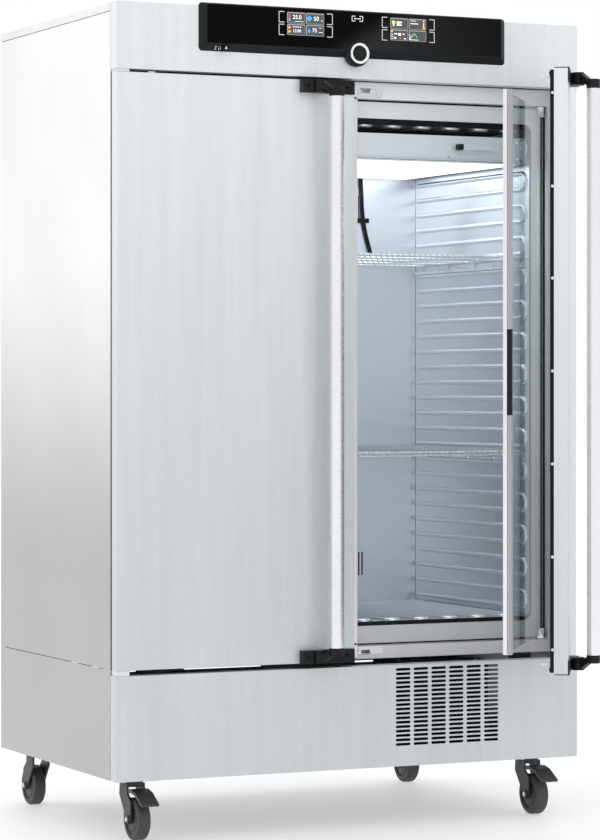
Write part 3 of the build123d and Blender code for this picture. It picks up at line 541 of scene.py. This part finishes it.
for tag, x0, x1, side in (("ll", -206.5, -192.0, -1), ("lr", -80.5, -65.5, 1), ("rl", 65.5, 80.0, -1), ("rr", 193.0, 207.5, 1)):
    bracket(tag + "_up", x0, x1, 1918.4, 1944.6, side)
    bracket(tag + "_down", x0, x1, 1888.4, 1914.6, side)
bracket("home_l", -15, -5.5, 1929.8, 1943.2, -1, 1.8)
bracket("home_r", 5.5, 15, 1929.8, 1943.2, 1, 1.8)
panel_boxes("touch_mark_home_bar", [(-6.5, 6.5, 1935.6, 1937.4), (-8.5, -5.0, 1934.8, 1938.2), (5.0, 8.5, 1934.8, 1938.2)], "mark", PF - 0.15, PF + 0.05)

# sockets behind a flap at the lower left of the bezel, with plain marks; the bevel slopes from y 0 at z 1844 to y -13 at z 1860
BEV = math.atan2(12.95, 1860.0 - 1843.7)


def on_bevel(x, z, out=0.0):
    f = (z - 1843.7) / (1860.0 - 1843.7)
    return x, -0.05 - 12.95 * f - out * math.cos(BEV), z - out * math.sin(BEV)


def bevel_plate(bm, xc, zc, wx, wz, th, out):
    x, y, z = on_bevel(xc, zc, out)
    c = V(x, y, z)
    mat = Matrix.Translation(c) @ Matrix.Rotation(BEV, 4, "X") @ Matrix.Diagonal((wx / 1000, th / 1000, wz / 1000, 1))
    bmesh.ops.create_cube(bm, size=1.0, matrix=mat)


bm = bmesh.new()
bevel_plate(bm, -361.6, 1851.4, 19.2, 13.0, 0.5, 0.15)
finish_mesh("socket_flap", bm, M["display"], "cabinet")
bm = bmesh.new()
for dx, dz, wx, wz in ((-366.2, 1854.2, 5.4, 1.3), (-366.2, 1851.3, 3.4, 1.0), (-366.2, 1848.6, 5.4, 1.3),
                       (-356.0, 1854.8, 1.3, 2.6), (-358.6, 1851.0, 1.3, 3.6), (-353.4, 1851.0, 1.3, 3.6), (-356.0, 1848.4, 4.6, 1.3)):
    bevel_plate(bm, dx, dz, wx, wz, 0.3, 0.45)
finish_mesh("socket_marks", bm, M["mark"], "cabinet")
bm = bmesh.new()
add_cyl(bm, -343.2, -16.3, 1852.9, 1.7, 0.3, "y", 16)
add_box(bm, -346.2, -340.2, -16.45, -16.15, 1848.6, 1850.2)
add_box(bm, -344.6, -341.8, -16.45, -16.15, 1849.4, 1851.6)
finish_mesh("main_switch_mark", bm, M["mark"], "switch_key")

# knob: smooth bright ring with a dark glossy face
bm = bmesh.new()
add_cyl(bm, 0, -26.2, 1852.5, 14.6, 0.5, "y", 48, bev=0.2)
finish_mesh("knob_face", bm, M["knobface"], "control_button", smooth=True)

# ================================================================== screws, gasket clips, door edge details
def screws(name, pts, mat, body, r=3.2, h=1.4, axis="y", sgn=-1, xf=None, slot_mat="black"):
    bm = bmesh.new()
    bm2 = bmesh.new()
    for (x, y, z) in pts:
        screw(bm, x, y, z, r, h, axis, sgn)
        d = h * 0.99 * sgn
        for rot in (0, 1):
            s1, s2 = (r * 0.95, r * 0.22) if rot == 0 else (r * 0.22, r * 0.95)
            if axis == "y":
                add_box(bm2, x - s1 / 2, x + s1 / 2, y + d - 0.08, y + d + 0.08, z - s2 / 2, z + s2 / 2)
            elif axis == "x":
                add_box(bm2, x + d - 0.08, x + d + 0.08, y - s1 / 2, y + s1 / 2, z - s2 / 2, z + s2 / 2)
            else:
                add_box(bm2, x - s1 / 2, x + s1 / 2, y - s2 / 2, y + s2 / 2, z + d - 0.08, z + d + 0.08)
    finish_mesh(name, bm, M[mat], body, xf, smooth=True)
    finish_mesh(name + "_recess", bm2, M[slot_mat], body, xf)


# seven small white clips that hold the right door's gasket, and the same on the left
zc = [1066.6 + (383.64 - y) * 2.283 for y in (92.5, 186, 278, 371, 464, 557, 650)]
for tag, xf in (("right", DR), ("left", MIR)):
    bm = bmesh.new()
    for z in zc:
        add_cyl(bm, 9.3, 35.6, z, 3.4, 1.2, "x", 18, bev=0.3)
    finish_mesh("gasket_clips_" + tag, bm, M["white"], "door_" + tag, xf, smooth=True)
    # a ridge along the middle of the gasket's side
    bm = bmesh.new()
    d1 = 41.2 if tag == "right" else 44.5
    add_box(bm, 9.4, 10.1, 35.8, 37.4, 416, 1774, 0.25)
    add_box(bm, 601.9, 602.6, 35.8, 40.4, 416, 1774, 0.25)
    finish_mesh("gasket_ridge_" + tag, bm, M["rubber"], "door_" + tag, xf)
    # screws that hold the handle mounts
    pts = []
    for z in (1771.5, 419.0):
        pts += [(132, -21.0, z), (23, -3.5, z)]
    screws("handle_mount_screws_" + tag, pts, "black", "door_" + tag, 3.6, 1.2, "y", -1, xf, "dark")
    # row of screws on the inner liner of the door
    pts = [(x, 32.0, z) for x in (28, 305, 586) for z in (424, 1762)] + [(586, 32.0, z) for z in (760, 1095, 1430)]
    screws("door_liner_screws_" + tag, pts, "zinc", "door_" + tag, 3.0, 1.1, "y", 1, xf, "dark")

box("sealing_strip_skin", -8.8, 27.3, 41.4, 44.95, 407.8, 1785.7, "gframe", "door_left", 0.8)
screws("sealing_strip_screws", [(22.0, 41.4, 1752.9), (22.0, 41.4, 441.0)], "black", "door_left", 3.2, 1.0)

# ================================================================== glass leaves
for tag, x0, xf, body in (("right", 28.0, GR, "glass_door_right"), ("left", -26.5, MIR, "glass_door_left")):
    # black grip strip let into the outer face and edge of the free stile
    bm = bmesh.new()
    add_box(bm, x0 - 0.6, x0 + 14.0, 44.6, 56.0, 993, 1193, 0.5)
    for k in range(18):
        add_box(bm, x0 - 0.95, x0 - 0.5, 46.5, 54.5, 1001 + 11 * k, 1005 + 11 * k, 0.15)
    if tag == "right":
        finish_mesh("glass_grip_" + tag, bm, M["black"], body, xf)
    else:
        bm.free()
    # the free-edge strip carries painted shade, darker than the lilac-grey leaf frame
    box("leaf_edge_strip_" + tag, x0 - 0.4, x0 + 0.2, 44.9, 54.4, 437.7, 1749.8, "leaf_edge_shade", body, 0.1, xf)
    # glazing bead, black, along the free stile on both faces
    bm = bmesh.new()
    for y0, y1 in ((50.6, 52.1), (57.9, 59.4)):
        for a in ((x0 + 23.6, x0 + 26.4, 446.5, 1741.0),):
            add_box(bm, a[0], a[1], y0, y1, a[2], a[3], 0.2)
    finish_mesh("glazing_bead_" + tag, bm, M["rubber"], body, xf)
    # groove line along the free stile between its light half and its half darkened with painted shade
    bm = bmesh.new()
    add_box(bm, x0 - 0.25, x0 + 0.2, 54.6, 55.4, 440, 1748)
    finish_mesh("stile_groove_" + tag, bm, M["dark"], body, xf)
    pts = [(536.5, 47.1, z) for z in (443.5, 455.5, 1732, 1744)]
    screws("leaf_hinge_screws_" + tag, pts, "zinc", body, 2.4, 0.9, "y", -1, xf, "dark")
    bm = bmesh.new()
    for z in (451.5, 1736.0):
        add_box(bm, 508, 526.5, 47.4, 52.05, z - 5, z + 5, 1.0)
    finish_mesh("pane_clamps_" + tag, bm, M["white"], body, xf)

for sx in (-1, 1):
    box("jamb_seal_" + ("left" if sx < 0 else "right"), *sorted((sx * 552.4, sx * 553.9)), 58.5, 66.9, 437, 1751, "rubber", "cabinet", 0.2)

# ================================================================== light unit
bm = bmesh.new()
add_box(bm, 318.5, 331.5, 67.9, 86.1, 1639.9, 1654.1, 0.8)
finish_mesh("light_handle_cap", bm, M["black"], "light_unit")
screws("light_unit_screws", [(300, 86.2, 1622), (-300, 86.2, 1622), (0, 86.2, 1622), (495, 80.0, 1668), (495, 80.0, 1617)], "zinc", "light_unit", 2.4, 1.0, "y", -1, None, "dark")
bm = bmesh.new()
add_box(bm, -500, 500, 84.2, 86.2, 1612.6, 1613.6)
finish_mesh("light_lip_shadow", bm, M["dark"], "light_unit")

# ================================================================== cabinet: top, rear, base details
pts = [(x, 783.9, z) for x in (-598, -200, 200, 598) for z in (160, 1915)] + [(x, 783.9, z) for x in (-598, 598) for z in (560, 960, 1360)]
screws("rear_cover_screws", pts, "zinc", "cabinet", 4.0, 1.6, "y", 1, None, "dark")
# louvre hoods over the rear slots
for tag, cols, rows, wd in (("base", (-330, 0, 330), [200 + 14 * i for i in range(12)], 214), ("top", (0,), [1812 + 12 * i for i in range(8)], 414)):
    bm = bmesh.new()
    for cx_ in cols:
        for z in rows:
            add_box(bm, cx_ - wd / 2, cx_ + wd / 2, 784.0, 787.2, z + 1.9, z + 3.0, 0.3)
    finish_mesh("rear_louvres_" + tag, bm, M["rear"], "cabinet")
# bare plate where a rating plate sits
box("rear_blank_plate", 430, 560, 784.0, 784.8, 1480, 1560, "zinc", "cabinet", 0.3)
screws("rear_blank_plate_rivets", [(436, 784.8, 1486), (554, 784.8, 1486), (436, 784.8, 1554), (554, 784.8, 1554)], "zinc", "cabinet", 1.8, 0.6, "y", 1, None, "dark")

# ================================================================== castors
for c, sx, y, sg in (("front_left", -1, 104, -1), ("front_right", 1, 104, -1), ("rear_left", -1, 735, 1), ("rear_right", 1, 735, 1)):
    cx_, wy = sx * 531, y + 30 * sg
    bm = bmesh.new()
    for s in (-1, 1):
        add_cyl(bm, cx_ + s * 13.3, wy, 50, 29.5, 1.2, "x", 48, bev=0.3)
    finish_mesh("wheel_disc_" + c, bm, M["hub"], "wheel_" + c, smooth=True)
    bm = bmesh.new()
    for s in (-1, 1):
        add_cyl(bm, cx_ + s * 27.4, wy, 50, 6.5, 3.2, "x", 6, bev=0.4)
    finish_mesh("axle_nuts_" + c, bm, M["zinc"], "castor_" + c)
    bm = bmesh.new()
    add_cyl(bm, cx_, y, 139.0, 27, 3.0, "z", 40, bev=0.8)
    finish_mesh("swivel_dust_ring_" + c, bm, M["hub"], "castor_" + c, smooth=True)
    if c.startswith("front"):
        bm = bmesh.new()
        for k in range(4):
            yy = y + sg * (80 + 7 * k)
            zz = 113.6 - (80 + 7 * k - 72) * (23 / 40.0) + 0.3
            add_box(bm, cx_ - 16, cx_ + 16, yy - 1.0, yy + 1.0, zz - 0.9, zz + 0.9, 0.3)
        finish_mesh("pedal_ribs_" + c, bm, M["hub"], "brake_" + c)


# ================================================================== camera, light, floor
cam = bpy.data.objects.new("Camera", bpy.data.cameras.new("Camera"))
scene.collection.objects.link(cam)
cam.location = V(-3308.8, -6710.2, 1066.6)
cam.rotation_euler = (math.radians(90), 0, -math.radians(25.24295))
cam.data.sensor_width = 36.0
cam.data.sensor_fit = "AUTO"
cam.data.lens = 3132.757 / 840.0 * 36.0
cam.data.shift_y = -0.0433
cam.data.clip_end = 60
scene.camera = cam
scene.view_settings.view_transform = "Standard"
scene.view_settings.look = "None"

w = bpy.data.worlds.new("studio")
scene.world = w
w.use_nodes = True
wt = w.node_tree
wt.nodes.clear()
wo = wt.nodes.new("ShaderNodeOutputWorld")
bg = wt.nodes.new("ShaderNodeBackground")
bg.inputs[0].default_value = (1.0, 1.0, 1.0, 1.0)
bg.inputs[1].default_value = 1.0
wt.links.new(bg.outputs[0], wo.inputs[0])

fm = NT("floor_pale")
fm.set(Base_Color=(0.55, 0.55, 0.55), Roughness=0.7, Emission_Color=(1.0, 1.0, 1.0), Emission_Strength=0.45)
vec = fm.coords()
fm.link(fm.remap(fm.noise(vec, 2.0, 3.0), 0.3, 0.7, 0.55, 0.65), fm.bsdf.inputs["Roughness"])
fmesh = bpy.data.meshes.new("floor")
fmesh.from_pydata([(-40, -40, 0), (40, -40, 0), (40, 40, 0), (-40, 40, 0)], [], [(0, 1, 2, 3)])
floor = bpy.data.objects.new("floor", fmesh)
floor.data.materials.append(fm.m)
scene.collection.objects.link(floor)


def area(name, loc, target, size, power, sy=None, col=(1, 1, 1)):
    ld = bpy.data.lights.new(name, "AREA")
    ld.shape = "RECTANGLE"
    ld.size = size
    ld.size_y = sy or size
    ld.energy = power
    ld.color = col
    o = bpy.data.objects.new(name, ld)
    scene.collection.objects.link(o)
    o.location = loc
    o.rotation_euler = (Vector(target) - Vector(loc)).to_track_quat("-Z", "Y").to_euler()
    return o


area("key_left_back", (-4.6, 2.2, 4.2), (-0.6, 0.1, 1.9), 2.4, 40, 1.6)
area("fill_front", (-0.6, -5.0, 5.0), (0, -0.4, 1.7), 3.0, 14, 2.0)
area("chamber_light", V(0, 386, 1604), V(0, 386, 500), 0.94, 1.3, 0.54, (0.93, 0.97, 1.0))
